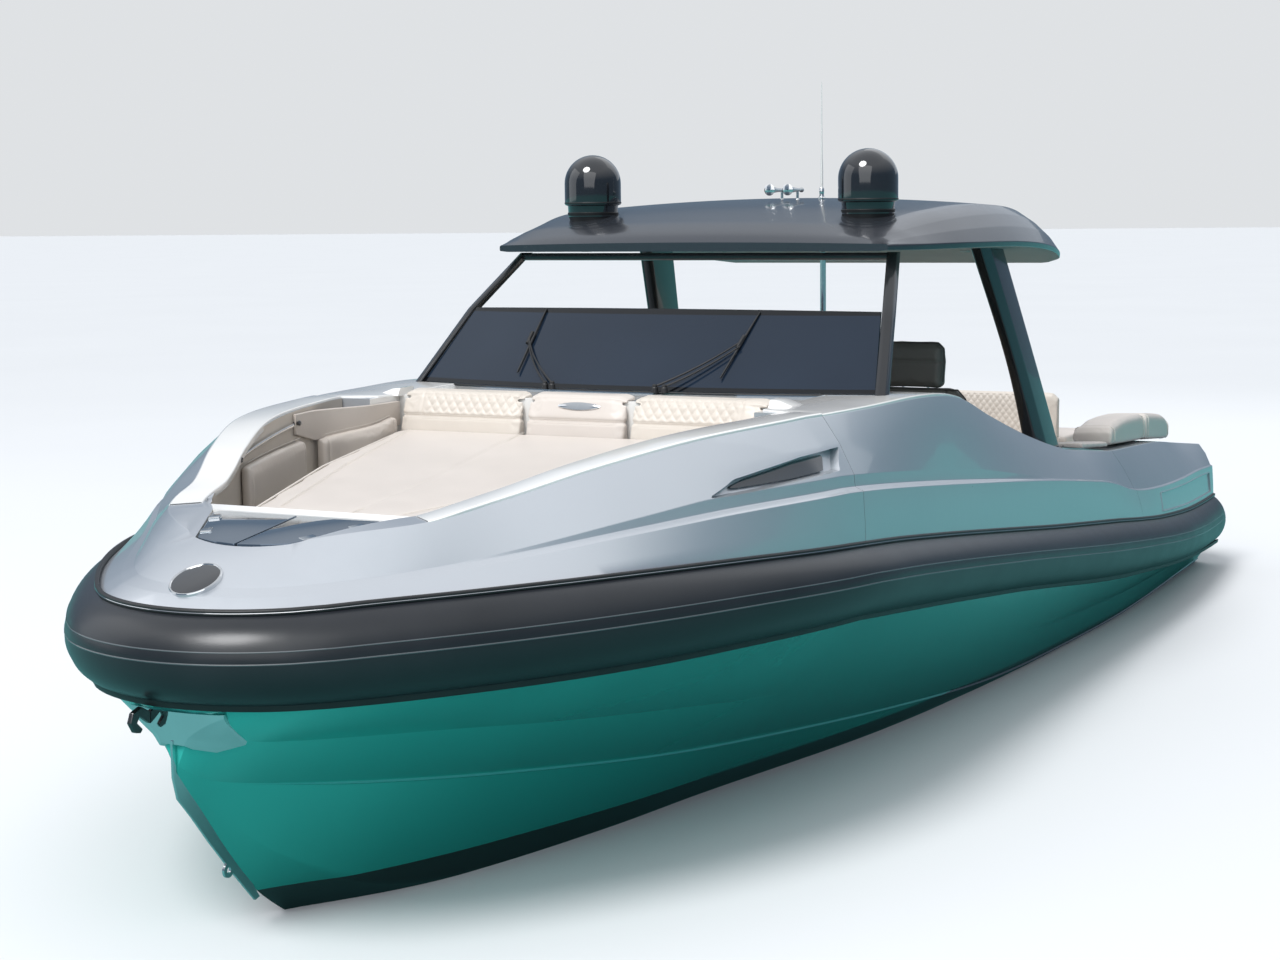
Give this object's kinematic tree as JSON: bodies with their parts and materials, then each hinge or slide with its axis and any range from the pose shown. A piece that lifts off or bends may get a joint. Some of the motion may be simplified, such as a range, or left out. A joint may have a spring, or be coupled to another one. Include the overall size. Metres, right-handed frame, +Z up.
{
  "type": "speedboat",
  "caption": "Open motor boat with a foam collar, bow sunbed, tinted windscreen, hard roof, helm seats, stern sofa and steerable sterndrives that tilt.",
  "frame": {"origin": "on the centreline at the waterline, amidships", "axes": "+X towards the bow, +Y to port, +Z up"},
  "size_m": [13.0938, 4.0256, 4.96],
  "materials": {
    "hull_paint": "gloss metallic",
    "silver_paint": "gloss metallic",
    "dark_paint": "gloss metallic",
    "dark_gloss": "gloss",
    "white_gelcoat": "gloss",
    "collar": "satin",
    "cream_leather": "soft satin",
    "dark_leather": "satin",
    "tinted_glass": "polished",
    "black_trim": "matte",
    "deck_planking": "matte",
    "stainless": "polished",
    "engine_paint": "satin",
    "drive_paint": "satin"
  },
  "bodies": {
    "boat": {"hull": "hull_paint", "topside_port": "hull_paint", "topside_starboard": "hull_paint", "collar_port": "collar", "collar_starboard": "collar", "foredeck": "silver_paint", "side_wing_port": "silver_paint", "side_wing_starboard": "silver_paint", "quarter_port": "silver_paint", "quarter_starboard": "silver_paint", "rail_caps": "white_gelcoat", "well_liner": "white_gelcoat", "sunbed_cushion": "cream_leather", "bow_backrest": "cream_leather", "side_windows": "tinted_glass", "bow_side_cushions": "cream_leather", "well_trim": "stainless", "roof_post": "stainless", "anchor": "stainless", "deckhouse": "white_gelcoat", "helm_console": "dark_gloss", "helm_seats": "dark_leather", "windscreen": "tinted_glass", "windscreen_frame": "dark_paint", "wipers": "black_trim", "hardtop": "dark_paint", "arches": "dark_paint", "satellite_domes": "dark_gloss", "antenna": "white_gelcoat", "horns": "stainless", "cockpit_sole": "deck_planking", "sofa_base": "white_gelcoat", "sofa_cushions": "cream_leather", "sofa_backrest": "cream_leather", "quarter_cushions": "cream_leather", "engine_box": "white_gelcoat", "swim_platform": "deck_planking", "engines": "engine_paint", "gimbal_housings": "drive_paint", "stem_plate": "stainless", "transom_eyes": "stainless"},
    "lid_port": {"locker_lid_port": "dark_gloss"},
    "lid_starboard": {"locker_lid_starboard": "dark_gloss"},
    "door": {"cabin_door": "dark_gloss"},
    "hatch": {"engine_hatch": "white_gelcoat", "aft_sunpad": "cream_leather"},
    "wheel": {"steering_wheel": "dark_leather"},
    "yoke_port": {"drive_yoke_port": "drive_paint"},
    "yoke_starboard": {"drive_yoke_starboard": "drive_paint"},
    "leg_port": {"drive_leg_port": "drive_paint"},
    "leg_starboard": {"drive_leg_starboard": "drive_paint"},
    "screw_port": {"propeller_port": "stainless"},
    "screw_starboard": {"propeller_starboard": "stainless"}
  },
  "joints": [
    {"name": "locker_lid_port_hinge", "type": "hinge", "parent": "boat", "child": "lid_port", "pos_m": [5.0811, 0.493, 1.8005], "axis": [-0.8649, 0.4884, 0.1159], "range_deg": [0, 85]},
    {"name": "locker_lid_starboard_hinge", "type": "hinge", "parent": "boat", "child": "lid_starboard", "pos_m": [5.0811, -0.493, 1.8005], "axis": [0.8649, 0.4884, -0.1159], "range_deg": [0, 85]},
    {"name": "cabin_door_hinge", "type": "hinge", "parent": "boat", "child": "door", "pos_m": [0.448, 0.282, 1.2], "axis": [0, 0, -1], "range_deg": [0, 90]},
    {"name": "engine_hatch_hinge", "type": "hinge", "parent": "boat", "child": "hatch", "pos_m": [-4.99, -0.17, 1.082], "axis": [0, 1, 0], "range_deg": [0, 50]},
    {"name": "drive_steer_port", "type": "hinge", "parent": "boat", "child": "yoke_port", "pos_m": [-6.33, 0.42, -0.1], "axis": [0, 0, 1], "range_deg": [-28, 28]},
    {"name": "drive_steer_starboard", "type": "hinge", "parent": "boat", "child": "yoke_starboard", "pos_m": [-6.33, -0.42, -0.1], "axis": [0, 0, 1], "range_deg": [-28, 28]},
    {"name": "steering_wheel_spin", "type": "hinge", "parent": "boat", "child": "wheel", "pos_m": [0.1847, -0.78, 1.7316], "axis": [-0.9578, 0, 0.2873], "range_deg": [-360, 360]},
    {"name": "drive_tilt_port", "type": "hinge", "parent": "yoke_port", "child": "leg_port", "pos_m": [-6.455, 0.42, 0.01], "axis": [0, 1, 0], "range_deg": [0, 45]},
    {"name": "drive_tilt_starboard", "type": "hinge", "parent": "yoke_starboard", "child": "leg_starboard", "pos_m": [-6.455, -0.42, 0.01], "axis": [0, 1, 0], "range_deg": [0, 45]},
    {"name": "propeller_port_spin", "type": "hinge", "parent": "leg_port", "child": "screw_port", "pos_m": [-6.85, 0.42, -0.72], "axis": [-1, 0, 0], "continuous": true},
    {"name": "propeller_starboard_spin", "type": "hinge", "parent": "leg_starboard", "child": "screw_starboard", "pos_m": [-6.85, -0.42, -0.72], "axis": [-1, 0, 0], "continuous": true}
  ],
  "couplings": [
    {"joint": "drive_steer_starboard", "follows": "drive_steer_port", "ratio": 1},
    {"joint": "steering_wheel_spin", "follows": "drive_steer_port", "ratio": -12.85}
  ]
}
